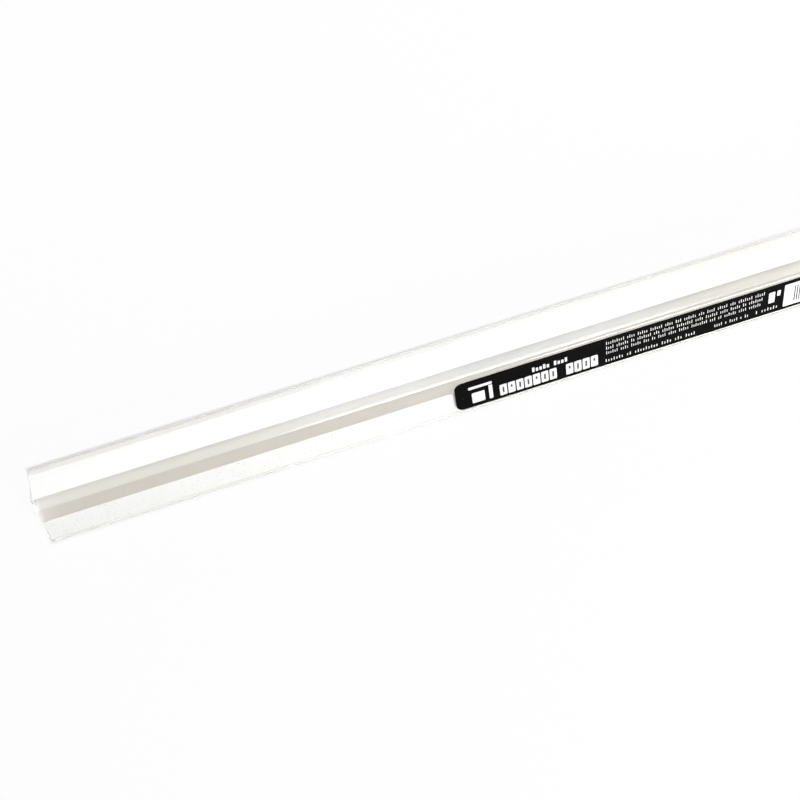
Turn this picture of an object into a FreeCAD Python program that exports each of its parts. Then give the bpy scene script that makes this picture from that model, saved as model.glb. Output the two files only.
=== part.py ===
"""Corner guard moulding: a clear plastic angle that sticks over the outside corner of a wall.

The angle lies like a tent on its two free edges, apex up. +X runs along the stock, the front
flange (with the label) faces -Y, the rear flange faces +Y, and the floor is Z = 0.

Every piece is drawn in the flanges' own frame and then turned into that tent: there the sharp
outer corner is the origin, the rear flange runs along +Y and the front flange along -Z.
"""

import FreeCAD, Part
import Sketcher
import math
import os
from types import SimpleNamespace

Vector = FreeCAD.Vector

# Driving dimensions, in millimetres
SIZES = {
    # the clear angle
    "stock_length": 1219.2,
    "leg": 19.05,
    "wall": 1.2,
    "apex_outer_radius": 2.0,
    "apex_inner_radius": 0.8,
    "edge_radius": 0.3,
    "end_corner_radius": 1.2,
    # the adhesive strips and their release papers, which share one width
    "strip_width": 10.7,
    "strip_thickness": 0.15,
    "strip_end_inset": 0.4,
    "front_strip_margin": 0.6,
    "rear_strip_margin": 2.4,
    "paper_thickness": 0.1,
    "peel_tab_reach": 1.3,
    "peel_tab_radius": 2.5,
    # the printed label on the front flange
    "label_start": 150.0,
    "label_length": 165.0,
    "label_width": 14.7,
    "label_margin": 1.4,
    "label_corner_radius": 3.0,
    "label_thickness": 0.1,
}
TENT_ANGLE = -45.0


class Length:
    """A length together with the formula over the sheet that gives it."""

    def __init__(self, value, formula):
        self.value = value
        self.formula = formula

    def __add__(self, other):
        return Length(self.value + other.value, f"({self.formula} + {other.formula})")

    def __sub__(self, other):
        return Length(self.value - other.value, f"({self.formula} - {other.formula})")

    def __neg__(self):
        return Length(-self.value, f"(-{self.formula})")

    def halved(self):
        return Length(self.value / 2, f"({self.formula} / 2)")


doc = FreeCAD.newDocument("corner_guard_moulding")
sheet = doc.addObject("Spreadsheet::Sheet", "Sizes")
for row, (alias, value) in enumerate(SIZES.items(), start=1):
    sheet.set(f"A{row}", alias)
    sheet.set(f"B{row}", str(value))
    sheet.setAlias(f"B{row}", alias)
doc.recompute()
size = SimpleNamespace(**{a: Length(v, f"Sizes.{a}") for a, v in SIZES.items()})
ZERO = Length(0.0, "0")
half_length = size.stock_length.halved()


def new_body(label):
    """A body in the flanges' frame, turned so that its free edges would stand on the floor."""
    body = doc.addObject("PartDesign::Body", label)
    body.Label = label
    body.Placement = FreeCAD.Placement(Vector(), FreeCAD.Rotation(Vector(1, 0, 0), TENT_ANGLE))
    body.setExpression("Placement.Base.z", "(Sizes.leg + Sizes.wall) / sqrt(2)")
    return body


def origin_plane(body, role):
    return next(f for f in body.Origin.OriginFeatures if f.Role == role)


def new_sketch(body, name, role, across=ZERO, up=ZERO):
    """A sketch on one of the body's origin planes, its own origin moved across and up in it."""
    sketch = body.newObject("Sketcher::SketchObject", name)
    sketch.AttachmentSupport = (origin_plane(body, role), [""])
    sketch.MapMode = "FlatFace"
    sketch.setExpression("AttachmentOffset.Base.x", across.formula)
    sketch.setExpression("AttachmentOffset.Base.y", up.formula)
    return sketch


def hold_line(sketch, line, level, distance):
    """Makes a line level or upright and keeps it at its distance from the sketch's origin."""
    sketch.addConstraint(Sketcher.Constraint("Horizontal" if level else "Vertical", line))
    if distance.value == 0:
        axis = -1 if level else -2
        sketch.addConstraint(Sketcher.Constraint("PointOnObject", line, 1, axis))
        return
    kind = "DistanceY" if level else "DistanceX"
    if distance.value > 0:
        index = sketch.addConstraint(Sketcher.Constraint(kind, -1, 1, line, 1, distance.value))
        sketch.setExpression(f"Constraints[{index}]", distance.formula)
    else:
        index = sketch.addConstraint(Sketcher.Constraint(kind, line, 1, -1, 1, -distance.value))
        sketch.setExpression(f"Constraints[{index}]", (-distance).formula)


def round_corner(sketch, before, after, centre, radius, first_angle, hollow):
    """A quarter arc tangent to the lines before and after it; a hollow one turns clockwise."""
    last_angle = first_angle + math.pi / 2
    circle = Part.Circle(centre, Vector(0, 0, 1), radius.value)
    arc = sketch.addGeometry(Part.ArcOfCircle(circle, first_angle, last_angle))
    start, end = (2, 1) if hollow else (1, 2)
    sketch.addConstraint(Sketcher.Constraint("Tangent", before, 2, arc, start))
    sketch.addConstraint(Sketcher.Constraint("Tangent", arc, end, after, 1))
    index = sketch.addConstraint(Sketcher.Constraint("Radius", arc, radius.value))
    sketch.setExpression(f"Constraints[{index}]", radius.formula)


def draw_outline(sketch, corners):
    """Draws a closed anticlockwise outline of level and upright lines.

    A corner is its x, its y and its radius, which is None where the corner is sharp.
    """
    count = len(corners)
    points = [Vector(x.value, y.value, 0) for x, y, _ in corners]
    ways = [(points[(i + 1) % count] - points[i]).normalize() for i in range(count)]
    trims = [radius.value if radius else 0.0 for _, _, radius in corners]
    for i in range(count):
        after = (i + 1) % count
        sketch.addGeometry(
            Part.LineSegment(points[i] + ways[i] * trims[i], points[after] - ways[i] * trims[after])
        )
    for i, (x, y, radius) in enumerate(corners):
        level = abs(ways[i].y) < abs(ways[i].x)
        hold_line(sketch, i, level, y if level else x)
        before = (i - 1) % count
        if radius is None:
            sketch.addConstraint(Sketcher.Constraint("Coincident", before, 2, i, 1))
            continue
        hollow = ways[before].cross(ways[i]).z < 0
        centre = points[i] + (ways[i] - ways[before]) * trims[i]
        spoke = ways[before] if hollow else -ways[i]
        first_angle = math.atan2(spoke.y, spoke.x)
        round_corner(sketch, before, i, centre, radius, first_angle, hollow)


def new_pad(body, name, sketch, length, other_way=None):
    """Pads a sketch along its normal, or along it by one length and against it by another."""
    pad = body.newObject("PartDesign::Pad", name)
    pad.Profile = sketch
    pad.setExpression("Length", length.formula)
    if other_way:
        pad.SideType = "Two sides"
        pad.setExpression("Length2", other_way.formula)
    return pad


def corner_nip(body, name, role, free_edge, inward):
    """A pocket that rounds a flange's free corner at the left cut end.

    The sketch's origin is that corner; inward is +1 or -1, the way up the flange to the apex.
    """
    sketch = new_sketch(body, f"{name}_sketch", role, across=-half_length, up=free_edge)
    radius = size.end_corner_radius
    reach = radius.value
    corner = Vector(0, 0, 0)
    on_end = Vector(0, inward * reach, 0)
    on_edge = Vector(reach, 0, 0)
    centre = Vector(reach, inward * reach, 0)
    end_line = sketch.addGeometry(Part.LineSegment(corner, on_end))
    edge_line = sketch.addGeometry(Part.LineSegment(on_edge, corner))
    first_angle = math.pi if inward > 0 else math.pi / 2
    round_corner(sketch, end_line, edge_line, centre, radius, first_angle, hollow=inward < 0)
    sketch.addConstraint(Sketcher.Constraint("Coincident", end_line, 1, -1, 1))
    sketch.addConstraint(Sketcher.Constraint("Coincident", edge_line, 2, -1, 1))
    sketch.addConstraint(Sketcher.Constraint("Vertical", end_line))
    sketch.addConstraint(Sketcher.Constraint("Horizontal", edge_line))
    pocket = body.newObject("PartDesign::Pocket", name)
    pocket.Profile = sketch
    pocket.Type = "ThroughAll"
    return pocket


def make_guard():
    """The clear angle: its die profile carried along the stock, then its end corners rounded."""
    leg, wall = size.leg, size.wall
    body = new_body("corner_guard")
    profile = new_sketch(body, "guard_profile", "YZ_Plane")
    draw_outline(
        profile,
        [
            (ZERO, ZERO, size.apex_outer_radius),
            (ZERO, -leg, size.edge_radius),
            (wall, -leg, None),
            (wall, -wall, size.apex_inner_radius),
            (leg, -wall, None),
            (leg, ZERO, size.edge_radius),
        ],
    )
    new_pad(body, "guard_extrusion", profile, half_length, half_length)
    doc.recompute()
    nips = [
        corner_nip(body, "rear_corner_nip", "XY_Plane", leg, inward=-1),
        corner_nip(body, "front_corner_nip", "XZ_Plane", -leg, inward=1),
    ]
    doc.recompute()
    other_end = body.newObject("PartDesign::Mirrored", "other_end_nips")
    other_end.Originals = nips
    other_end.MirrorPlane = (origin_plane(body, "YZ_Plane"), [""])
    body.Tip = other_end
    return body


def make_front_layer(label, depth, thickness):
    """A band along the inside of the front flange, at its depth from the flange's outer face."""
    body = new_body(label)
    section = new_sketch(body, f"{label}_section", "YZ_Plane")
    far = -(size.leg - size.front_strip_margin)
    near = far + size.strip_width
    top = depth + thickness
    draw_outline(section, [(depth, far, None), (top, far, None), (top, near, None), (depth, near, None)])
    reach = half_length - size.strip_end_inset
    new_pad(body, f"{label}_band", section, reach, reach)
    return body


def make_rear_layer(label, depth, thickness, left_reach):
    """A band along the inside of the rear flange, with its own reach towards the left end."""
    body = new_body(label)
    section = new_sketch(body, f"{label}_section", "YZ_Plane")
    far = size.leg - size.rear_strip_margin
    near = far - size.strip_width
    top = depth + thickness
    draw_outline(section, [(near, -top, None), (far, -top, None), (far, -depth, None), (near, -depth, None)])
    new_pad(body, f"{label}_band", section, half_length - size.strip_end_inset, left_reach)
    return body


def round_peel_tab(body):
    """Rounds the two corners of the rear paper where it stands past the left cut end."""
    doc.recompute()
    band = body.Tip
    left = band.Shape.BoundBox.XMin
    upright = [
        f"Edge{number}"
        for number, edge in enumerate(band.Shape.Edges, start=1)
        if edge.BoundBox.XMax < left + size.peel_tab_reach.value / 2
        and edge.BoundBox.YLength < edge.BoundBox.ZLength
    ]
    rounding = body.newObject("PartDesign::Fillet", "peel_tab_corners")
    rounding.Base = (band, upright)
    rounding.setExpression("Radius", size.peel_tab_radius.formula)
    body.Tip = rounding


def make_label():
    """The printed sticker on the outside of the front flange, with rounded corners."""
    body = new_body("label")
    plan = new_sketch(
        body,
        "label_plan",
        "XZ_Plane",
        across=size.label_start - half_length,
        up=size.label_margin - size.leg,
    )
    radius = size.label_corner_radius
    draw_outline(
        plan,
        [
            (ZERO, ZERO, radius),
            (size.label_length, ZERO, radius),
            (size.label_length, size.label_width, radius),
            (ZERO, size.label_width, radius),
        ],
    )
    new_pad(body, "label_sticker", plan, size.label_thickness)
    return body


on_strip = size.wall + size.strip_thickness
tape_reach = half_length - size.strip_end_inset
tab_reach = half_length + size.peel_tab_reach
pieces = [
    make_guard(),
    make_front_layer("adhesive_strip_front", size.wall, size.strip_thickness),
    make_front_layer("release_paper_front", on_strip, size.paper_thickness),
    make_rear_layer("adhesive_strip_rear", size.wall, size.strip_thickness, tape_reach),
    make_rear_layer("release_paper_rear", on_strip, size.paper_thickness, tab_reach),
    make_label(),
]
round_peel_tab(doc.getObject("release_paper_rear"))
doc.recompute()

for item in doc.Objects:
    if {"Invalid", "Error"} & set(item.State):
        raise RuntimeError(f"{item.Label} failed: {item.State}")
for piece in pieces:
    shape = piece.Shape
    if shape.isNull() or not shape.isValid() or len(shape.Solids) != 1:
        raise RuntimeError(f"{piece.Label} has no single valid solid")

os.makedirs("parts", exist_ok=True)
for piece in pieces:
    piece.Shape.exportStep(f"parts/{piece.Label}.step")
    box = piece.Shape.BoundBox
    print(
        f"{piece.Label}: {piece.Shape.Volume:.2f} mm3, X {box.XMin:.2f} to {box.XMax:.2f},"
        f" Y {box.YMin:.3f} to {box.YMax:.3f}, Z {box.ZMin:.3f} to {box.ZMax:.3f}"
    )
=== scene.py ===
# %% [markdown]
# # Finishing a clear corner guard
# The object is one length of clear plastic angle that sticks over the corner of a wall. It lies like a
# tent on its two free edges. Inside each flange is a band of clear adhesive under white release paper,
# and a black printed label sits on the outside of the front flange. Sizes and places follow the packed
# part, so this lesson only dresses it: finer meshes, and a material for each thing that it is made of.

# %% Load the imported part
import math

import bpy
import numpy as np
from mathutils import Euler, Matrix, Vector


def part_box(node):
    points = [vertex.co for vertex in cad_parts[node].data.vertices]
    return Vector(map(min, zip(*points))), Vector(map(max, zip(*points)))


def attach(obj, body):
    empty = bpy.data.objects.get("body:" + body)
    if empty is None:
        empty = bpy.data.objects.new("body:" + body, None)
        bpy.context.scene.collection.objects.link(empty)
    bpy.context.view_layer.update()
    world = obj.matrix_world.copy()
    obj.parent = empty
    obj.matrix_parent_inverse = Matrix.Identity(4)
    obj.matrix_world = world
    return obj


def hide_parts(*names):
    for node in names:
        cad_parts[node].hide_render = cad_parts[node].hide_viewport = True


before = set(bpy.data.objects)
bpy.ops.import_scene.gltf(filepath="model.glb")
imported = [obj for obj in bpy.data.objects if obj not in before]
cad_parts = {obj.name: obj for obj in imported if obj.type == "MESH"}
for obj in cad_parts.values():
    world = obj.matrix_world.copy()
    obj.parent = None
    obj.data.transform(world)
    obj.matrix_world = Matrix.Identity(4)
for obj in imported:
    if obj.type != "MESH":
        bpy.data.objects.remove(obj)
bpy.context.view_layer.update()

# %% [markdown]
# ## One way of placing everything
# A flange is easiest to think of flat. A point of the section is given by how far it lies from the two
# outer faces: `front_gap` from the front flange's face and `rear_gap` from the rear one's. The sharp
# outer corner is (0, 0), the rear flange runs along front_gap and the front flange along rear_gap.
# Turning that by 45 degrees stands the angle on the floor, so one small formula places every piece.
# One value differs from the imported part: the rounding inside the apex is 1.6 mm here and 0.8 mm there.
# A small one bends the light into a thin dark line along the apex, which the real stock doesn't show.

# %% Section values and the turn onto the floor
MM = 0.001
LEG = 19.05 * MM
WALL = 1.2 * MM
APEX_OUTER = 2.0 * MM
APEX_INNER = 1.6 * MM
EDGE_ROUND = 0.3 * MM
ROOT2 = math.sqrt(2)
SHARP_APEX = (LEG + WALL) / ROOT2
guard_low, guard_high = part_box("corner_guard")
LEFT_END, RIGHT_END = guard_low.x, guard_high.x


def on_section(along, front_gap, rear_gap):
    """Row points: x is along, y = (front_gap - rear_gap) / root 2, z = apex - (their sum) / root 2."""
    along, front_gap, rear_gap = np.broadcast_arrays(along, front_gap, rear_gap)
    y = (front_gap - rear_gap) / ROOT2
    z = SHARP_APEX - (front_gap + rear_gap) / ROOT2
    return np.stack([along, y, z], axis=-1)


def on_flange(side, along, from_apex, depth):
    """The same for a flange: distance from the sharp apex and depth below its outer face."""
    if side == "rear":
        return on_section(along, from_apex, depth)
    return on_section(along, depth, from_apex)


print("stock from", round(LEFT_END, 4), "to", round(RIGHT_END, 4), "apex at", round(SHARP_APEX, 5))

# %% [markdown]
# ## One mesh builder for thin things
# The guard, the strips, the papers and the label are all thin: an outer face and an inner face that
# follow each other. Extruding a curve or adding a Solidify modifier could make them, but two matching
# grids of points give full control of each rim. The builder joins the grids and closes the four borders,
# so every piece is a closed skin whose faces point outwards.


# %% Closed skin from two grids of points
def grid_quads(first, rows, columns):
    """Cells of a rows x columns grid of point numbers that starts at first, row by row."""
    number = first + np.arange(rows * columns).reshape(rows, columns)
    return number, np.stack(
        [number[:-1, :-1], number[1:, :-1], number[1:, 1:], number[:-1, 1:]], axis=-1
    ).reshape(-1, 4)


def border_quads(edge, other):
    """Cells between two lines of point numbers that run side by side."""
    return np.stack([edge[:-1], other[:-1], other[1:], edge[1:]], axis=-1)


def new_mesh(name, points, quads, materials, material_of_quad=None, sharp_degrees=35):
    """Puts whole arrays of points and four-sided faces into a mesh object at the origin."""
    mesh = bpy.data.meshes.new(name)
    mesh.vertices.add(len(points))
    mesh.vertices.foreach_set("co", points.astype(np.float32).ravel())
    mesh.loops.add(quads.size)
    mesh.loops.foreach_set("vertex_index", quads.astype(np.int32).ravel())
    mesh.polygons.add(len(quads))
    mesh.polygons.foreach_set("loop_start", np.arange(0, quads.size, 4, dtype=np.int32))
    mesh.polygons.foreach_set("use_smooth", np.ones(len(quads), dtype=bool))
    for material in materials:
        mesh.materials.append(material)
    if material_of_quad is not None:
        mesh.polygons.foreach_set("material_index", material_of_quad.astype(np.int32))
    mesh.update(calc_edges=True)
    mesh.validate()
    mesh.set_sharp_from_angle(angle=math.radians(sharp_degrees))
    piece = bpy.data.objects.new(name, mesh)
    bpy.context.scene.collection.objects.link(piece)
    print(name, "has", len(points), "points and", len(quads), "faces")
    return piece


def closed_skin(name, outer, inner, materials, end_material=0, inner_material=0, rim=0):
    """Joins two grids (stations x across x 3) that face each other; ends and inside may differ.

    The first and last rim columns of the outer grid take the end material too.
    """
    rows, columns = outer.shape[:2]
    out, out_quads = grid_quads(0, rows, columns)
    inn, inn_quads = grid_quads(rows * columns, rows, columns)
    sides = [border_quads(out[:, 0], inn[:, 0]), border_quads(inn[:, -1], out[:, -1])]
    ends = [border_quads(inn[0], out[0]), border_quads(out[-1], inn[-1])]
    quads = np.concatenate([out_quads, inn_quads[:, ::-1], *sides, *ends])
    choice = np.zeros(len(quads), dtype=np.int32)
    choice[len(out_quads) : 2 * len(out_quads)] = inner_material
    choice[-sum(map(len, ends)) :] = end_material
    column = np.tile(np.arange(columns - 1), rows - 1)
    on_rim = (column < rim) | (column >= columns - 1 - rim)
    choice[: len(out_quads)][on_rim] = end_material
    points = np.concatenate([outer.reshape(-1, 3), inner.reshape(-1, 3)])
    return new_mesh(name, points, quads, materials, choice)


def eased_stations(start, end, ease, middle, steps=9):
    """Stations from start to end: crowded like a quarter circle near both ends, even between."""
    turn = 1 - np.cos(np.linspace(0, math.pi / 2, steps))
    inside = np.linspace(start + ease, end - ease, middle)[1:-1]
    return np.concatenate([start + ease * turn, inside, end - ease * turn[::-1]])


def corner_inset(stations, radius):
    """How far a rounded corner draws the border in: radius - sqrt(radius^2 - (radius - e)^2)."""
    to_end = np.minimum(stations - stations[0], stations[-1] - stations)
    left = np.clip(radius - to_end, 0, radius)
    return radius - np.sqrt(radius**2 - left**2)


# %% [markdown]
# ## Shared finishes as node groups
# Three effects turn up on more than one surface. `long_streaks` are the fine lines that a die, a slitter
# or a printing press leaves along the stock. `cloudy_mottle` is the slow unevenness of paper, glue and
# handled plastic. `fine_specks` are the specks of dust and tiny bubbles. Each is a group that puts out a
# plain value, so that every material can use it at its own scale and strength.


# %% Helpers for node trees and the three groups
SPECK_CORE = 0.6


def add_node(tree, kind, at, **settings):
    """A node of that kind at a place in the tree, with its plain settings and socket values set."""
    made = tree.nodes.new(kind)
    made.location = at
    for key, value in settings.items():
        if key in made.inputs:
            made.inputs[key].default_value = value
        else:
            setattr(made, key, value)
    return made


def add_math(tree, operation, first, second, at):
    """One step of arithmetic on two sockets or numbers."""
    step = add_node(tree, "ShaderNodeMath", at, operation=operation)
    for socket, value in zip(step.inputs, (first, second)):
        if isinstance(value, (int, float)):
            socket.default_value = value
        else:
            tree.links.new(value, socket)
    return step.outputs["Value"]


def new_group(name, inputs):
    """An empty group with number inputs, one Value output, and its two end nodes."""
    group = bpy.data.node_groups.new(name, "ShaderNodeTree")
    for label, default in inputs.items():
        socket = group.interface.new_socket(label, in_out="INPUT", socket_type="NodeSocketFloat")
        socket.default_value = default
    group.interface.new_socket("Value", in_out="OUTPUT", socket_type="NodeSocketFloat")
    entry = add_node(group, "NodeGroupInput", (-900, 0))
    leave = add_node(group, "NodeGroupOutput", (500, 0))
    return group, entry, leave


def long_streaks():
    """Noise on Object coordinates, squeezed across the stock and drawn out along it."""
    group, entry, leave = new_group("long_streaks", {"Across per metre": 4000.0, "Along per metre": 3.0})
    place = add_node(group, "ShaderNodeTexCoord", (-900, 250))
    scale = add_node(group, "ShaderNodeCombineXYZ", (-700, 0))
    stretch = add_node(group, "ShaderNodeVectorMath", (-500, 150), operation="MULTIPLY")
    noise = add_node(group, "ShaderNodeTexNoise", (-300, 150), Scale=1.0, Detail=3.0, Roughness=0.6)
    spread = add_node(group, "ShaderNodeMapRange", (0, 150))
    spread.inputs["From Min"].default_value = 0.3
    spread.inputs["From Max"].default_value = 0.7
    links = group.links
    links.new(entry.outputs["Along per metre"], scale.inputs["X"])
    links.new(entry.outputs["Across per metre"], scale.inputs["Y"])
    links.new(entry.outputs["Across per metre"], scale.inputs["Z"])
    links.new(place.outputs["Object"], stretch.inputs[0])
    links.new(scale.outputs["Vector"], stretch.inputs[1])
    links.new(stretch.outputs["Vector"], noise.inputs["Vector"])
    links.new(noise.outputs["Fac"], spread.inputs["Value"])
    links.new(spread.outputs["Result"], leave.inputs["Value"])
    return group


def cloudy_mottle():
    """Soft noise with a few finer layers in it, stretched to fill 0 to 1."""
    group, entry, leave = new_group("cloudy_mottle", {"Patches per metre": 300.0, "Detail": 4.0})
    place = add_node(group, "ShaderNodeTexCoord", (-700, 200))
    noise = add_node(group, "ShaderNodeTexNoise", (-400, 150), Roughness=0.62)
    spread = add_node(group, "ShaderNodeMapRange", (0, 150))
    spread.inputs["From Min"].default_value = 0.28
    spread.inputs["From Max"].default_value = 0.72
    links = group.links
    links.new(place.outputs["Object"], noise.inputs["Vector"])
    links.new(entry.outputs["Patches per metre"], noise.inputs["Scale"])
    links.new(entry.outputs["Detail"], noise.inputs["Detail"])
    links.new(noise.outputs["Fac"], spread.inputs["Value"])
    links.new(spread.outputs["Result"], leave.inputs["Value"])
    return group


def fine_specks():
    """1 in the core of small round spots at scattered cell centres, fading to 0 at the spot's size."""
    group, entry, leave = new_group("fine_specks", {"Cells per metre": 700.0, "Spot size": 0.16})
    place = add_node(group, "ShaderNodeTexCoord", (-700, 200))
    cells = add_node(group, "ShaderNodeTexVoronoi", (-400, 150))
    core = add_math(group, "MULTIPLY", entry.outputs["Spot size"], SPECK_CORE, (-150, 0))
    spot = add_node(group, "ShaderNodeMapRange", (100, 150), interpolation_type="SMOOTHSTEP")
    spot.inputs["To Min"].default_value = 1.0
    spot.inputs["To Max"].default_value = 0.0
    links = group.links
    links.new(place.outputs["Object"], cells.inputs["Vector"])
    links.new(entry.outputs["Cells per metre"], cells.inputs["Scale"])
    links.new(cells.outputs["Distance"], spot.inputs["Value"])
    links.new(core, spot.inputs["From Min"])
    links.new(entry.outputs["Spot size"], spot.inputs["From Max"])
    links.new(spot.outputs["Result"], leave.inputs["Value"])
    return group


GROUPS = {made.name: made for made in (long_streaks(), cloudy_mottle(), fine_specks())}
print("node groups:", ", ".join(GROUPS))


def place_group(tree, name, at, **values):
    """One use of a shared group, with its own values; returns its Value socket."""
    used = add_node(tree, "ShaderNodeGroup", at, node_tree=GROUPS[name])
    for label, value in values.items():
        used.inputs[label.replace("_", " ")].default_value = value
    return used.outputs["Value"]


def span(tree, value, low, high, at):
    """A value from 0 to 1 spread between low and high."""
    ranged = add_node(tree, "ShaderNodeMapRange", at)
    ranged.inputs["To Min"].default_value = low
    ranged.inputs["To Max"].default_value = high
    tree.links.new(value, ranged.inputs["Value"])
    return ranged.outputs["Result"]


def blend_colour(tree, factor, first, second, at):
    """First colour where the factor is 0, second where it is 1; either may be a socket."""
    mix = add_node(tree, "ShaderNodeMix", at, data_type="RGBA")
    tree.links.new(factor, mix.inputs["Factor"])
    colour_in = [s for s in mix.inputs if s.type == "RGBA"]
    for socket, colour in zip(colour_in, (first, second)):
        if isinstance(colour, tuple):
            socket.default_value = (*colour, 1.0)
        else:
            tree.links.new(colour, socket)
    return next(s for s in mix.outputs if s.type == "RGBA")


def bumped(tree, height, depth, strength, at):
    """A normal from a height value; depth is how tall the relief is, in metres."""
    bump = add_node(tree, "ShaderNodeBump", at, Strength=strength, Distance=depth)
    tree.links.new(height, bump.inputs["Height"])
    return bump.outputs["Normal"]


def new_material(name):
    """An empty material with one Principled shader on its output."""
    material = bpy.data.materials.new(name)
    material.use_nodes = True
    tree = material.node_tree
    tree.nodes.clear()
    shader = add_node(tree, "ShaderNodeBsdfPrincipled", (300, 0))
    output = add_node(tree, "ShaderNodeOutputMaterial", (900, 0))
    tree.links.new(shader.outputs["BSDF"], output.inputs["Surface"])
    return material, tree, shader, output


def show_mixed(tree, output, factor, first, second):
    """Puts a mix of two shaders on the output: first where the factor is 0, second where it is 1."""
    mix = add_node(tree, "ShaderNodeMixShader", (650, 0))
    tree.links.new(factor, mix.inputs["Fac"])
    tree.links.new(first, mix.inputs[1])
    tree.links.new(second, mix.inputs[2])
    tree.links.new(mix.outputs["Shader"], output.inputs["Surface"])


# %% [markdown]
# ## Clear plastic
# The guard is water-clear plastic with a faint warm tint, polished by the die and marked by fine lines
# along it. True refraction draws the dark and bright lines along the apex and the free edges; the cut
# ends and the rounded free edges are also tinted grey, a painted shade that deepens those lines. Light
# that has to find a lamp through it by chance comes out grainy. So the plastic is simply see-through,
# with a slight tint, for shadow rays and for the diffuse rays that bounce off matt things.


# %% The clear plastic, its sawn ends and the painted shade on its edges
PLASTIC_IOR = 1.53
PLASTIC_TINT = (0.985, 0.972, 0.945)
# Grey tint of the cut ends and free-edge rims: painted shade that darkens the line along the edges.
PAINTED_EDGE_SHADE = (0.7, 0.7, 0.71)
LAMP_TINT = (0.978, 0.972, 0.955)
DIE_LINE_HIGH = 0.0004 * MM
SAW_MARK_HIGH = 0.01 * MM


def let_lamps_through(tree, shader, output, tint):
    """Shows the shader to the rays that look at it; shadow and diffuse rays pass with a tint."""
    path = add_node(tree, "ShaderNodeLightPath", (100, 400))
    shadow, diffuse = path.outputs["Is Shadow Ray"], path.outputs["Is Diffuse Ray"]
    passing = add_math(tree, "MAXIMUM", shadow, diffuse, (350, 400))
    clear = add_node(tree, "ShaderNodeBsdfTransparent", (300, -450), Color=(*tint, 1.0))
    show_mixed(tree, output, passing, shader.outputs["BSDF"], clear.outputs["BSDF"])


def clear_plastic():
    """Transmission with die lines as relief and faint handling haze in the gloss."""
    material, tree, shader, output = new_material("clear_plastic")
    shader.inputs["Base Color"].default_value = (*PLASTIC_TINT, 1.0)
    shader.inputs["Transmission Weight"].default_value = 1.0
    shader.inputs["IOR"].default_value = PLASTIC_IOR
    haze = place_group(tree, "cloudy_mottle", (-600, 100), Patches_per_metre=60.0, Detail=5.0)
    tree.links.new(span(tree, haze, 0.12, 0.18, (-250, 100)), shader.inputs["Roughness"])
    lines = place_group(tree, "long_streaks", (-600, -250), Across_per_metre=1500.0, Along_per_metre=1.5)
    tree.links.new(bumped(tree, lines, DIE_LINE_HIGH, 0.3, (-250, -250)), shader.inputs["Normal"])
    let_lamps_through(tree, shader, output, LAMP_TINT)
    return material


def sawn_plastic_painted_shade():
    """Cut ends and free-edge rims: plastic frosted by the saw's teeth, tinted grey as painted shade."""
    material, tree, shader, output = new_material("sawn_plastic_painted_shade")
    shader.inputs["Base Color"].default_value = (*PAINTED_EDGE_SHADE, 1.0)
    shader.inputs["Transmission Weight"].default_value = 1.0
    shader.inputs["IOR"].default_value = PLASTIC_IOR
    teeth = place_group(tree, "cloudy_mottle", (-600, 0), Patches_per_metre=4000.0, Detail=3.0)
    tree.links.new(span(tree, teeth, 0.25, 0.45, (-250, 100)), shader.inputs["Roughness"])
    tree.links.new(bumped(tree, teeth, SAW_MARK_HIGH, 0.5, (-250, -250)), shader.inputs["Normal"])
    let_lamps_through(tree, shader, output, LAMP_TINT)
    return material


CLEAR, SAWN = clear_plastic(), sawn_plastic_painted_shade()
print("made", CLEAR.name, "and", SAWN.name)

# %% [markdown]
# ## The clear angle
# On the real stock one die shapes the whole section, so the mesh is that section carried along the
# length. The outer line runs from the front free edge over the rounded apex to the rear one, and the
# inner line follows it. The saw leaves the flanges' free corners a little rounded, so near each end the
# flanges are drawn in along a quarter circle.


# %% Carry the section along the stock
END_CORNER = 1.2 * MM
FLANGE_STEPS, APEX_STEPS, EDGE_STEPS = 6, 19, 7
ANGLE_STATIONS = 61


def section_lines():
    """The outer and inner lines of the section, as front_gap and rear_gap of matching points.

    A rounding of radius r turns through a quarter circle: r (1 - cos t) one way, r (1 - sin t) the other.
    """
    edge = np.linspace(0, math.pi / 2, EDGE_STEPS)
    apex = np.linspace(0, math.pi / 2, APEX_STEPS)
    straight = np.linspace(LEG - EDGE_ROUND, APEX_OUTER, FLANGE_STEPS)[1:-1]
    edge_out = EDGE_ROUND * (1 - np.sin(edge))
    edge_along = LEG - EDGE_ROUND * (1 - np.cos(edge))
    apex_out = APEX_OUTER * (1 - np.cos(apex))
    apex_along = APEX_OUTER * (1 - np.sin(apex))
    front_gap = np.concatenate([edge_out, 0 * straight, apex_out, straight[::-1], edge_along[::-1]])
    rear_gap = np.concatenate([edge_along, straight, apex_along, 0 * straight, edge_out[::-1]])
    inner_apex_out = WALL + APEX_INNER * (1 - np.cos(apex))
    inner_apex_along = WALL + APEX_INNER * (1 - np.sin(apex))
    flat = np.concatenate([edge_along, straight])
    wall = np.full_like(flat, WALL)
    inner_front_gap = np.concatenate([wall, inner_apex_out, flat[::-1]])
    inner_rear_gap = np.concatenate([flat, inner_apex_along, wall])
    return (front_gap, rear_gap), (inner_front_gap, inner_rear_gap)


def drawn_in(line, share):
    """Shortens both flanges of a line by a share of their straight length, station by station."""
    knee = max(APEX_OUTER, WALL + APEX_INNER)
    return [np.where(gap > knee, knee + (gap - knee) * share, gap) for gap in line]


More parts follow.
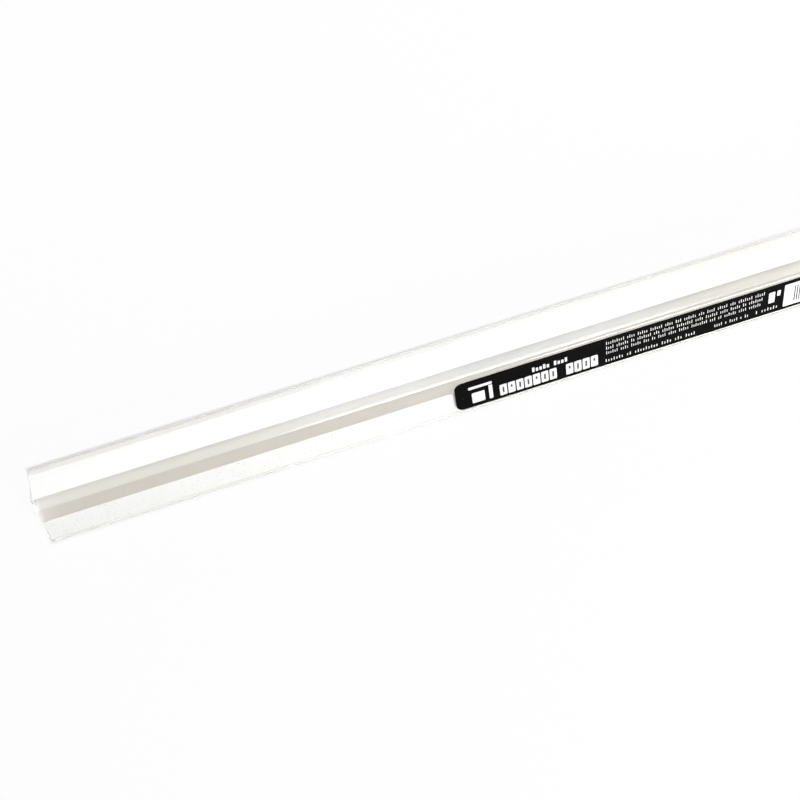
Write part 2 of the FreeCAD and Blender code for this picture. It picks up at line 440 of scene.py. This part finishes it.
def make_angle():
    """The section at every station, its flanges shortened by the share 1 - corner inset / flange."""
    stations = eased_stations(LEFT_END, RIGHT_END, END_CORNER, ANGLE_STATIONS)[:, None]
    inset = corner_inset(stations, END_CORNER)
    share = 1 - inset / (LEG - APEX_OUTER)
    outer_line, inner_line = section_lines()
    outer = on_section(stations, *drawn_in(outer_line, share))
    inner = on_section(stations, *drawn_in(inner_line, share))
    # The free edges' rims take the end material too, so they carry its painted grey shade.
    return closed_skin("clear_angle", outer, inner, [CLEAR, SAWN], end_material=1, rim=EDGE_STEPS - 1)


clear_angle = make_angle()

# %% [markdown]
# ## Adhesive strips
# A band of clear, slightly milky adhesive lies under each flange. It is thinner than a fingernail and
# wets the plastic, so it hardly shows: mostly see-through, with a little haze and scattered tiny bubbles.
# A Transparent shader mixed with the Principled one does that without a second bending of the light.


# %% The adhesive's finish and the two bands
STRIP_WIDTH = 10.7 * MM
STRIP_THICK = 0.15 * MM
STRIP_INSET = 0.4 * MM
FRONT_MARGIN = 0.6 * MM
REAR_MARGIN = 2.4 * MM
HAIR_GAP = 0.01 * MM
MARGINS = {"front": FRONT_MARGIN, "rear": REAR_MARGIN}
BAND_STATIONS, BAND_POINTS = 41, 5
HAZE, BUBBLE_HAZE = 0.06, 0.18


def clear_adhesive():
    """See-through film; haze and bubbles raise how solid it looks."""
    material, tree, shader, output = new_material("clear_adhesive")
    shader.inputs["Base Color"].default_value = (0.92, 0.93, 0.93, 1.0)
    cloud = place_group(tree, "cloudy_mottle", (-700, 150), Patches_per_metre=260.0, Detail=4.0)
    tree.links.new(span(tree, cloud, 0.3, 0.55, (-350, 150)), shader.inputs["Roughness"])
    bubbles = place_group(tree, "fine_specks", (-700, -150), Cells_per_metre=620.0, Spot_size=0.2)
    solid = add_node(tree, "ShaderNodeMath", (-350, -150), operation="MULTIPLY_ADD")
    solid.inputs[1].default_value = BUBBLE_HAZE
    solid.inputs[2].default_value = HAZE
    tree.links.new(bubbles, solid.inputs[0])
    clear = add_node(tree, "ShaderNodeBsdfTransparent", (300, -450), Color=(0.99, 0.99, 0.99, 1.0))
    show_mixed(tree, output, solid.outputs["Value"], clear.outputs["BSDF"], shader.outputs["BSDF"])
    return material


def strip_across(side, points):
    """Distances from the apex across a strip, from the edge nearer the front to the rear one."""
    far = LEG - MARGINS[side]
    edges = (far, far - STRIP_WIDTH) if side == "front" else (far - STRIP_WIDTH, far)
    return np.linspace(*edges, points)


def make_band(side, material):
    """A flat strip: outer depth is the wall plus a hair, inner depth the wall plus its thickness."""
    stations = np.linspace(LEFT_END + STRIP_INSET, RIGHT_END - STRIP_INSET, BAND_STATIONS)[:, None]
    across = strip_across(side, BAND_POINTS)
    outer = on_flange(side, stations, across, WALL + HAIR_GAP)
    inner = on_flange(side, stations, across, WALL + STRIP_THICK)
    return closed_skin(f"adhesive_band_{side}", outer, inner, [material])


ADHESIVE = clear_adhesive()
bands = {side: make_band(side, ADHESIVE) for side in MARGINS}

# %% [markdown]
# ## Release papers
# White silicone paper covers the adhesive. Seen through the plastic it is bright and a little cloudy,
# where it sticks more or less closely. A sheet on a spool never lies quite flat, so the grid ripples by
# two hundredths of a millimetre. The plain back, which faces the wall, is duller and warmer. At the left
# end the rear paper leans past the cut and folds inwards. That end is doubled over as a finger tab, so it
# is white on both faces.


# %% The paper's finish and the two liners
PAPER_THICK = 0.1 * MM
PAPER_RIPPLE = 0.02 * MM
RIPPLE_SHORT, RIPPLE_LONG, RIPPLE_ACROSS = 31 * MM, 83 * MM, 2.1 * MM
PAPER_STATIONS, PAPER_POINTS = 241, 9
FIBRE_HIGH, BACK_FIBRE_HIGH = 0.012 * MM, 0.02 * MM
FOLD_RADIUS = 0.5 * MM
FOLD_TURN = math.radians(105)
FOLD_INSIDE = 0.35 * MM
TAB_LEAN = 1.1 * MM
FLAP_NEAR, FLAP_FAR = 4.8 * MM, 1.2 * MM
FLAP_CORNER = 1.5 * MM
FOLD_STEPS, FLAP_STEPS = 9, 8


def release_paper():
    """Off-white coated paper: cloudy colour, fibres as relief, a soft coated gloss."""
    material, tree, shader, _ = new_material("release_paper")
    cloud = place_group(tree, "cloudy_mottle", (-900, 250), Patches_per_metre=330.0, Detail=6.0)
    fibres = place_group(tree, "cloudy_mottle", (-900, -50), Patches_per_metre=3200.0, Detail=3.0)
    lines = place_group(tree, "long_streaks", (-900, -350), Across_per_metre=900.0, Along_per_metre=14.0)
    tone = blend_colour(tree, cloud, (0.88, 0.905, 0.945), (0.91, 0.935, 0.975), (-500, 250))
    streaks = span(tree, lines, 0.0, 0.25, (-500, -350))
    tone = blend_colour(tree, streaks, tone, (0.93, 0.95, 0.98), (-200, 250))
    tree.links.new(tone, shader.inputs["Base Color"])
    tree.links.new(span(tree, cloud, 0.45, 0.65, (-500, 0)), shader.inputs["Roughness"])
    tree.links.new(bumped(tree, fibres, FIBRE_HIGH, 0.5, (-200, -150)), shader.inputs["Normal"])
    return material


def paper_back():
    """The uncoated back of the paper: duller and warmer than the face, with coarse fibres."""
    material, tree, shader, _ = new_material("paper_back")
    cloud = place_group(tree, "cloudy_mottle", (-700, 200), Patches_per_metre=600.0, Detail=5.0)
    tone = blend_colour(tree, cloud, (0.58, 0.52, 0.4), (0.66, 0.6, 0.48), (-350, 200))
    tree.links.new(tone, shader.inputs["Base Color"])
    tree.links.new(span(tree, cloud, 0.65, 0.8, (-350, 0)), shader.inputs["Roughness"])
    tree.links.new(bumped(tree, cloud, BACK_FIBRE_HIGH, 0.5, (-350, -200)), shader.inputs["Normal"])
    return material


def paper_ripple(stations, across):
    """Ripple times (half + a third of a wave): sin x cos along the paper, plus half a sin across it."""
    wave = np.sin(stations / RIPPLE_SHORT) * np.cos(stations / RIPPLE_LONG)
    wave = wave + 0.5 * np.sin(across / RIPPLE_ACROSS)
    return PAPER_RIPPLE * (0.5 + wave / 3)


def make_front_liner(materials):
    """Outer depth is wall + strip + a hair + ripple; the inner one adds the paper less twice the ripple."""
    stations = np.linspace(LEFT_END + STRIP_INSET, RIGHT_END - STRIP_INSET, PAPER_STATIONS)[:, None]
    across = strip_across("front", PAPER_POINTS)
    top = WALL + STRIP_THICK + HAIR_GAP + paper_ripple(stations, across)
    outer = on_flange("front", stations, across, top)
    inner = on_flange("front", stations, across, top + PAPER_THICK - 2 * PAPER_RIPPLE)
    return closed_skin("liner_front", outer, inner, materials, inner_material=1)


def folded(run):
    """A paper's end that turns inwards: an arc of FOLD_RADIUS through FOLD_TURN, then straight on."""
    turn = np.clip(run / FOLD_RADIUS, 0, FOLD_TURN)
    straight = np.clip(run - FOLD_RADIUS * FOLD_TURN, 0, None)
    back = FOLD_RADIUS * np.sin(turn) + straight * math.cos(FOLD_TURN)
    down = FOLD_RADIUS * (1 - np.cos(turn)) + straight * math.sin(FOLD_TURN)
    return turn, back, down


def make_rear_liner(materials):
    """As the front liner, but its left end leans out by TAB_LEAN, folds and runs on as a flap.

    The flap's length goes evenly from FLAP_NEAR by the apex to FLAP_FAR, less its rounded corners.
    """
    edges = strip_across("rear", 2)
    across = eased_stations(edges[0], edges[1], FLAP_CORNER, PAPER_POINTS, steps=FLAP_STEPS)
    share = (across - edges[0]) / STRIP_WIDTH
    flap = FLAP_NEAR + (FLAP_FAR - FLAP_NEAR) * share - corner_inset(across, FLAP_CORNER)
    fold_run = FOLD_RADIUS * FOLD_TURN
    on_fold = np.linspace(0, fold_run, FOLD_STEPS)[:0:-1, None] + 0 * across
    on_flap = fold_run + np.linspace(1, 0, FLAP_STEPS)[:-1, None] * np.clip(flap, 0, None)
    start = LEFT_END + FOLD_INSIDE - TAB_LEAN * (1 - share)
    flat = start + np.linspace(0, 1, PAPER_STATIONS)[:, None] * (RIGHT_END - STRIP_INSET - start)
    turn, back, down = folded(np.concatenate([on_flap, on_fold, 0 * flat]))
    along = np.concatenate([0 * on_flap + start, 0 * on_fold + start, flat]) - back
    top = WALL + STRIP_THICK + HAIR_GAP + paper_ripple(along, across) + down
    thick = PAPER_THICK - 2 * PAPER_RIPPLE
    outer = on_flange("rear", along, across, top)
    inner = on_flange("rear", along + thick * np.sin(turn), across, top + thick * np.cos(turn))
    doubled = len(on_flap) + len(on_fold)
    plain_back = np.repeat(np.arange(len(along) - 1) >= doubled, len(across) - 1).astype(np.int32)
    return closed_skin("liner_rear", outer, inner, materials, inner_material=plain_back)


PAPER = [release_paper(), paper_back()]
liners = {"front": make_front_liner(PAPER), "rear": make_rear_liner(PAPER)}

# %% [markdown]
# ## The label
# A black film sticker with rounded corners. Its grid is drawn in near the ends by the corner radius, and
# its top face falls away over the last tenth of a millimetre, as die-cut film does. The film is not pure
# black: fine press lines and a soft unevenness show in its gloss.


# %% The label's film
LABEL_START = 150.0 * MM
LABEL_LENGTH = 165.0 * MM
LABEL_WIDTH = 14.7 * MM
LABEL_MARGIN = 1.4 * MM
LABEL_CORNER = 3.0 * MM
LABEL_THICK = 0.1 * MM
LABEL_RIM = 0.08 * MM
LABEL_DROP = 0.05 * MM
LABEL_RIM_STEPS = np.array([0.0, 0.04, 0.1, 0.2, 0.4]) * MM
LABEL_BORDER = 1 * MM
LABEL_STATIONS, LABEL_END_STEPS, LABEL_POINTS = 61, 17, 15
PRESS_LINE_HIGH = 0.003 * MM
LABEL_LEFT = LEFT_END + LABEL_START
LABEL_FOOT = LEG - LABEL_MARGIN


def black_film():
    """Black print under a satin varnish, a little lighter where dust and rubbing catch it."""
    material, tree, shader, _ = new_material("black_film")
    cloud = place_group(tree, "cloudy_mottle", (-900, 250), Patches_per_metre=120.0, Detail=5.0)
    lines = place_group(tree, "long_streaks", (-900, -50), Across_per_metre=2600.0, Along_per_metre=40.0)
    dust = place_group(tree, "fine_specks", (-900, -350), Cells_per_metre=420.0, Spot_size=0.06)
    tone = blend_colour(tree, cloud, (0.0012, 0.0012, 0.0013), (0.003, 0.003, 0.0029), (-500, 250))
    specks = span(tree, dust, 0.0, 0.35, (-500, -350))
    tone = blend_colour(tree, specks, tone, (0.2, 0.2, 0.19), (-200, 250))
    tree.links.new(tone, shader.inputs["Base Color"])
    tree.links.new(span(tree, lines, 0.18, 0.26, (-500, -50)), shader.inputs["Roughness"])
    tree.links.new(bumped(tree, lines, PRESS_LINE_HIGH, 0.3, (-200, -100)), shader.inputs["Normal"])
    shader.inputs["Specular IOR Level"].default_value = 0.02
    return material


def label_back():
    """The film's own white, seen from inside through the plastic."""
    material, tree, shader, _ = new_material("label_back")
    cloud = place_group(tree, "cloudy_mottle", (-700, 200), Patches_per_metre=300.0, Detail=4.0)
    tone = blend_colour(tree, cloud, (0.85, 0.85, 0.84), (0.92, 0.92, 0.91), (-350, 200))
    tree.links.new(tone, shader.inputs["Base Color"])
    tree.links.new(span(tree, cloud, 0.5, 0.65, (-350, -50)), shader.inputs["Roughness"])
    return material


def make_label():
    """Outer depth is -(thickness - drop * exp(-distance to the rim / rim width)), inner just clear."""
    ends = LABEL_LEFT, LABEL_LEFT + LABEL_LENGTH
    stations = eased_stations(*ends, LABEL_CORNER, LABEL_STATIONS, steps=LABEL_END_STEPS)[:, None]
    inset = corner_inset(stations, LABEL_CORNER)
    rim = LABEL_RIM_STEPS
    middle = np.linspace(LABEL_BORDER, LABEL_WIDTH - LABEL_BORDER, LABEL_POINTS)
    share = np.concatenate([rim, middle, LABEL_WIDTH - rim[::-1]])
    half = LABEL_WIDTH / 2
    from_foot = half + (share - half) * (1 - inset / half)
    to_rim = np.minimum(from_foot - inset, LABEL_WIDTH - inset - from_foot)
    to_end = np.minimum(stations - stations[0], stations[-1] - stations)
    fall = LABEL_DROP * np.exp(-np.minimum(to_rim, to_end) / LABEL_RIM)
    from_apex = LABEL_FOOT - from_foot
    outer = on_flange("front", stations, from_apex, fall - LABEL_THICK)
    inner = on_flange("front", stations, from_apex, np.full_like(fall, -HAIR_GAP))
    return closed_skin("label_film", outer, inner, [BLACK_FILM, LABEL_BACK], inner_material=1)


BLACK_FILM, LABEL_BACK = black_film(), label_back()
label_film = make_label()

# %% [markdown]
# ## Generic print on the label
# The label carries white print, which here is only its pattern of light and dark: plain bars the size of
# words, a pictogram of a guarded corner, and a white panel with stripes. Each mark is a rounded bar of
# ink a few thousandths of a millimetre high. Places on the label are millimetres from its lower left
# corner, and a bar is a row of left, foot, right, top and corner radius.


# %% The inks, then the bars
INK_HIGH = 0.008 * MM
INK_SUNK = 0.004 * MM
BAR_CORNER_STEPS = 4
TICK_ROUND = 0.16


def ink(name, first, second):
    """Opaque ink whose tone wanders between two colours with the press's fine unevenness."""
    material, tree, shader, _ = new_material(name)
    cloud = place_group(tree, "cloudy_mottle", (-700, 200), Patches_per_metre=1500.0, Detail=4.0)
    tone = blend_colour(tree, cloud, first, second, (-350, 200))
    tree.links.new(tone, shader.inputs["Base Color"])
    tree.links.new(span(tree, cloud, 0.35, 0.5, (-350, -50)), shader.inputs["Roughness"])
    return material


def letter_row(start, end, foot, height, words, fill, low=1.0):
    """Ticks the size of letters: words counts them, one pitch is left free between words.

    Two ticks in five have the full height, the rest the share low of it.
    """
    counts = np.array(words)
    pitch = (end - start) / (counts.sum() + len(counts) - 1)
    number = np.arange(counts.sum())
    word = np.repeat(np.arange(len(counts)), counts)
    left = start + pitch * (number + word)
    tall = np.where(number * 7 % 5 < 2, 1.0, low)
    width = pitch * fill
    ones = np.ones(len(left))
    rows = [left, foot * ones, left + width, foot + height * tall, TICK_ROUND * width * ones]
    return np.stack(rows, axis=1)


def counters(bars):
    """A dark hole in the middle of each bar, from 38 to 62% of its width; every third one is short."""
    left, foot, right, top, corner = bars.T
    wide, tall = right - left, top - foot
    low = np.where(np.arange(len(left)) % 3 == 1, 0.5, 0.24)
    rows = [left + 0.38 * wide, foot + low * tall, left + 0.62 * wide, foot + 0.76 * tall, 0.5 * corner]
    return np.stack(rows, axis=1)


def make_bars(name, bars, material, base=0.0):
    """Rounded bars of ink: each outline is four corner arcs, carried from sunk to high, then capped."""
    left, foot, right, top, corner = (bars[:, k : k + 1] * MM for k in range(5))
    angle = np.linspace(0, math.pi / 2, BAR_CORNER_STEPS)
    turn = np.concatenate([angle + k * math.pi / 2 for k in range(4)])[None, :]
    is_right = np.repeat([1, 0, 0, 1], BAR_CORNER_STEPS)[None, :]
    is_top = np.repeat([1, 1, 0, 0], BAR_CORNER_STEPS)[None, :]
    x = np.where(is_right, right - corner, left + corner) + corner * np.cos(turn)
    up = np.where(is_top, top - corner, foot + corner) + corner * np.sin(turn)
    level = LABEL_THICK + base
    count, ring = x.shape
    layers = [
        on_flange("front", LABEL_LEFT + x, LABEL_FOOT - up, np.full_like(x, -(level + high)))
        for high in (-INK_SUNK, INK_HIGH)
    ]
    points = np.concatenate([layer.reshape(-1, 3) for layer in layers])
    number = np.arange(2 * count * ring).reshape(2, count, ring)
    lower, upper = number
    sides = np.stack([lower, np.roll(lower, -1, 1), np.roll(upper, -1, 1), upper], axis=-1).reshape(-1, 4)
    pick = np.arange(ring // 2 - 1)
    around = (pick, pick + 1, ring - 2 - pick, ring - 1 - pick)
    caps = [np.stack([row[:, at] for at in around], axis=-1) for row in (upper, lower[:, ::-1])]
    quads = np.concatenate([sides, *[cap.reshape(-1, 4) for cap in caps]])
    return new_mesh(name, points, quads, [material], sharp_degrees=50)


TITLE = letter_row(16.4, 54.0, 1.5, 5.9, (7, 4), 0.86)
FINE = {"height": 1.6, "fill": 0.33, "low": 0.72}
SHORT_BARS = np.array([[119.0, 5.6, 121.4, 11.2, 0.4], [122.2, 8.4, 123.5, 11.2, 0.3]])
WALL_SIGN = (6.0, 2.0, 10.8, 7.6, 0.4)
SIDE_SIGN = (12.4, 1.8, 13.8, 9.4, 0.3)
TOP_SIGN = (5.0, 9.8, 13.8, 11.2, 0.3)
CORNER_SIGN = np.array([WALL_SIGN, SIDE_SIGN, TOP_SIGN])
PANEL = np.array([[125.0, 1.35, 160.0, 12.85, 0.5]])
WHITE_BARS = np.concatenate(
    [
        TITLE,
        letter_row(28.9, 42.5, 8.9, 2.4, (5, 4), 0.66, 0.74),
        letter_row(56.8, 117.7, 11.1, words=(9, 4, 5, 6, 4, 3, 6, 3, 4, 5, 3, 7, 5), **FINE),
        letter_row(56.8, 117.0, 8.5, words=(4, 6, 2, 7, 3, 6, 8, 4, 6, 4, 5, 2, 7), **FINE),
        letter_row(56.8, 116.4, 5.9, words=(6, 4, 5, 3, 2, 4, 4, 5, 8, 3, 2, 6, 4, 6), **FINE),
        letter_row(56.5, 91.4, 1.7, words=(7, 2, 9, 4, 3, 4), **FINE),
        letter_row(98.4, 111.9, 2.0, words=(4, 1, 4, 1, 2), **FINE),
        letter_row(114.5, 123.4, 2.0, words=(1, 6), **FINE),
        SHORT_BARS,
        CORNER_SIGN,
        PANEL,
    ]
)
STRIPES = letter_row(129.0, 157.0, 3.2, 8.0, (3, 2, 4, 1, 3, 2, 5, 1, 2), 0.5)
DARK_BARS = np.concatenate([counters(TITLE), STRIPES])
WHITE_INK = ink("white_ink", (0.7, 0.7, 0.69), (0.82, 0.82, 0.81))
label_print = make_bars("label_print", WHITE_BARS, WHITE_INK)
BLACK_INK = ink("black_ink", (0.008, 0.008, 0.008), (0.016, 0.016, 0.016))
panel_stripes = make_bars("panel_stripes", DARK_BARS, BLACK_INK, base=INK_HIGH)

# %% [markdown]
# ## Every piece takes its place in the part
# A piece rides on the part's only body and stands for the CAD node that it dresses, which is hidden.
# Each row also lists the record's material slot, which nothing here reads.

# %% Ride on the body and hide the replaced nodes
DRESSED = [
    (clear_angle, ["corner_guard"], "clear_plastic"),
    (bands["front"], ["adhesive_strip_front"], "clear_adhesive"),
    (bands["rear"], ["adhesive_strip_rear"], "clear_adhesive"),
    (liners["front"], ["release_paper_front"], "release_paper"),
    (liners["rear"], ["release_paper_rear"], "release_paper"),
    (label_film, ["label"], "label_film"),
    (label_print, [], "label_film"),
    (panel_stripes, [], "label_film"),
]
for piece, nodes, slot in DRESSED:
    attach(piece, "root")
    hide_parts(*nodes)
print(len(DRESSED), "pieces ride on the part")

# %% [markdown]
# ## A white floor
# The photograph is a product shot on white, as on a lit table. The floor is white card that takes the
# part's shade. A little way outside the part's footprint it turns white by itself, for the rays that look
# at it straight, in a mirror or through the plastic. It lights nothing, so the part keeps its own tones.


# %% The floor and its finish
SHADE_REACH = 1.4 * MM
TABLE_GLOW = 0.92
FLOOR_HALF, FLOOR_POINTS = 6.0, 13
FLOOR_DROP = 0.02 * MM


def is_seen(tree):
    """1 for rays that show a thing: straight to the camera, mirrored, or through something clear."""
    path = add_node(tree, "ShaderNodeLightPath", (-700, -600))
    straight, mirrored = path.outputs["Is Camera Ray"], path.outputs["Is Glossy Ray"]
    shown = add_math(tree, "MAXIMUM", straight, mirrored, (-500, -600))
    return add_math(tree, "MAXIMUM", shown, path.outputs["Is Transmission Ray"], (-300, -600))


def pale_floor():
    """White card with a faint mottle; clear of the part it is partly white by itself, as a lit table is.

    Distance outside the part's footprint fades that share in, so the shade under the part stays.
    """
    material, tree, shader, output = new_material("pale_floor")
    grain = place_group(tree, "cloudy_mottle", (-700, 100), Patches_per_metre=8.0, Detail=3.0)
    tone = blend_colour(tree, grain, (0.95, 0.95, 0.95), (0.965, 0.965, 0.965), (-350, 100))
    tree.links.new(tone, shader.inputs["Base Color"])
    shader.inputs["Roughness"].default_value = 0.9
    shader.inputs["Specular IOR Level"].default_value = 0.1
    place = add_node(tree, "ShaderNodeTexCoord", (-1100, -300))
    axes = add_node(tree, "ShaderNodeSeparateXYZ", (-900, -300))
    tree.links.new(place.outputs["Object"], axes.inputs["Vector"])
    sideways = add_math(tree, "ABSOLUTE", axes.outputs["Y"], 0.0, (-700, -250))
    beside = add_math(tree, "SUBTRACT", sideways, guard_high.y, (-500, -250))
    lengthways = add_math(tree, "ABSOLUTE", axes.outputs["X"], 0.0, (-700, -400))
    beyond = add_math(tree, "SUBTRACT", lengthways, RIGHT_END, (-500, -400))
    away = add_math(tree, "MAXIMUM", beside, beyond, (-300, -300))
    fade = add_node(tree, "ShaderNodeMapRange", (-100, -300), interpolation_type="SMOOTHSTEP")
    fade.inputs["From Max"].default_value = SHADE_REACH
    fade.inputs["To Max"].default_value = TABLE_GLOW
    tree.links.new(away, fade.inputs["Value"])
    glow = add_math(tree, "MULTIPLY", is_seen(tree), fade.outputs["Result"], (100, -400))
    white = add_node(tree, "ShaderNodeEmission", (300, -450), Strength=1.0)
    show_mixed(tree, output, glow, shader.outputs["BSDF"], white.outputs["Emission"])
    return material


def make_floor():
    """A flat square grid, FLOOR_HALF to each side of the middle and a hair below the part."""
    side = np.linspace(-FLOOR_HALF, FLOOR_HALF, FLOOR_POINTS)
    x, y = np.meshgrid(side, side, indexing="ij")
    points = np.stack([x, y, np.full_like(x, -FLOOR_DROP)], axis=-1)
    _, quads = grid_quads(0, *x.shape)
    return new_mesh("floor", points.reshape(-1, 3), quads, [pale_floor()])


make_floor()

# %% [markdown]
# ## Light for clear plastic
# Clear plastic shows what it mirrors more than what falls on it. The surround is white where it is seen
# and dim where it only lights. Softboxes round the stock light the papers and the inside: one over the
# apex, a row low at the rear, one low at the front, a weak fill at the left, and a fill at the right that
# no mirror shows. Pale cards do the reverse: they light nothing matt, and draw the bright line that runs
# along the apex. A weak far lamp adds a little hard light from the left.


# %% The surround, the softboxes and the cards
SURROUND_SEEN, SURROUND_LIGHT = 0.9, 0.28


def plain_surround():
    """White where it is seen, mirrored or looked at through the plastic; dimmer where it only lights."""
    world = bpy.data.worlds.new("plain_surround")
    world.use_nodes = True
    tree = world.node_tree
    background = tree.nodes["Background"]
    background.inputs["Color"].default_value = (1.0, 1.0, 1.0, 1.0)
    level = span(tree, is_seen(tree), SURROUND_LIGHT, SURROUND_SEEN, (-100, 0))
    tree.links.new(level, background.inputs["Strength"])
    bpy.context.scene.world = world


REACH = 0.95
COOL, WARM = (0.86, 0.93, 1.0), (1.0, 0.97, 0.9)
SHOWN = LEFT_END + 0.14


def hang(name, lamp, at, aim):
    """Places a lamp so that it faces its aim, unseen by the camera itself."""
    made = bpy.data.objects.new(name, lamp)
    made.location = at
    made.rotation_euler = (Vector(aim) - Vector(at)).to_track_quat("-Z", "Y").to_euler()
    made.visible_camera = False
    bpy.context.scene.collection.objects.link(made)
    return made


def softbox(name, along, tilt, width, height, watts, square_on=True, colour=(1.0, 1.0, 1.0)):
    """A rectangle REACH away from the stock's line, tilt degrees from upright towards the rear.

    It faces the stock square on, or the part of it that the camera shows.
    """
    lamp = bpy.data.lights.new(name, "AREA")
    lamp.shape = "RECTANGLE"
    lamp.size, lamp.size_y = width, height
    lamp.energy = watts
    lamp.color = colour
    turn = math.radians(tilt)
    at = (LEFT_END + along, REACH * math.sin(turn), REACH * math.cos(turn))
    return hang(name, lamp, at, (at[0] if square_on else SHOWN, 0, 0))


def mirror_card(name, along, width, low, high, level):
    """A pale card from low to high degrees towards the rear, which lights no matt surface.

    Its level is the brightness seen in it; an area lamp needs pi x level x area watts for that.
    """
    tilt = (low + high) / 2
    height = REACH * math.radians(high - low)
    card = softbox(name, along, tilt, width, height, math.pi * level * width * height, colour=COOL)
    card.visible_diffuse = False
    return card


def key_lamp(name, way, strength, spread):
    """Far, hard light that comes along the given way."""
    lamp = bpy.data.lights.new(name, "SUN")
    lamp.energy = strength
    lamp.angle = math.radians(spread)
    return hang(name, lamp, (LEFT_END, 0, 1), Vector((LEFT_END, 0, 1)) + Vector(way))


plain_surround()
softbox("apex_softbox", along=0.3, tilt=17, width=0.4, height=0.4, watts=2.75)
softbox("rear_strip_left", along=-0.14, tilt=83, width=0.42, height=0.22, watts=0.88)
softbox("rear_strip_middle", along=0.19, tilt=83, width=0.24, height=0.22, watts=0.76, colour=COOL)
softbox("rear_strip_label", along=0.405, tilt=83, width=0.19, height=0.22, watts=0.64, colour=COOL)
softbox("rear_strip_right", along=0.66, tilt=83, width=0.32, height=0.22, watts=0.89, colour=WARM)
softbox("front_softbox", along=0.58, tilt=-76, width=0.5, height=0.3, watts=9.6)
softbox("front_left_fill", along=-0.6, tilt=-50, width=0.3, height=0.3, watts=0.4, square_on=False)
right_fill = softbox("right_fill", along=0.85, tilt=17, width=0.4, height=0.4, watts=3.5)
right_fill.visible_glossy = False
mirror_card("rear_card_left", along=-0.14, width=0.42, low=31, high=74, level=2.0)
mirror_card("rear_card_middle", along=0.3, width=0.46, low=31, high=62, level=2.1)
mirror_card("rear_card_right", along=0.68, width=0.3, low=31, high=74, level=1.3)
mirror_card("apex_card_left", along=-0.12, width=0.4, low=-14, high=30, level=2.0)
mirror_card("apex_card_middle", along=0.3, width=0.4, low=-14, high=4, level=10.5)
mirror_card("apex_card_right", along=0.66, width=0.3, low=-14, high=30, level=1.8)
key_lamp("left_key", way=(0.52, 0.31, -0.8), strength=0.16, spread=2.0)

# %% [markdown]
# ## The camera
# It stands almost overhead, close to the left end, so the far end runs out of the frame. Its place and
# turn come from fitting the guard's known flange to the edges in the photograph. The lens is worked out
# from a focal length in pixels of the square frame.

# %% Place the camera
CAMERA_AT = Vector((LEFT_END + 95.11 * MM, 49.83 * MM, 482.17 * MM))
CAMERA_TURN = (-4.6385, -5.9409, -16.973)
SENSOR = 36.0
FOCAL_PIXELS, FRAME_PIXELS = 1359.5, 800

lens = bpy.data.cameras.new("camera")
lens.sensor_width = SENSOR
lens.lens = SENSOR * FOCAL_PIXELS / FRAME_PIXELS
camera = bpy.data.objects.new("camera", lens)
camera.location = CAMERA_AT
camera.rotation_euler = Euler([math.radians(angle) for angle in CAMERA_TURN])
bpy.context.scene.collection.objects.link(camera)
bpy.context.scene.camera = camera
bpy.context.scene.view_settings.view_transform = "Standard"
print("camera", [round(v, 4) for v in camera.location], "lens", round(lens.lens, 2), "mm")
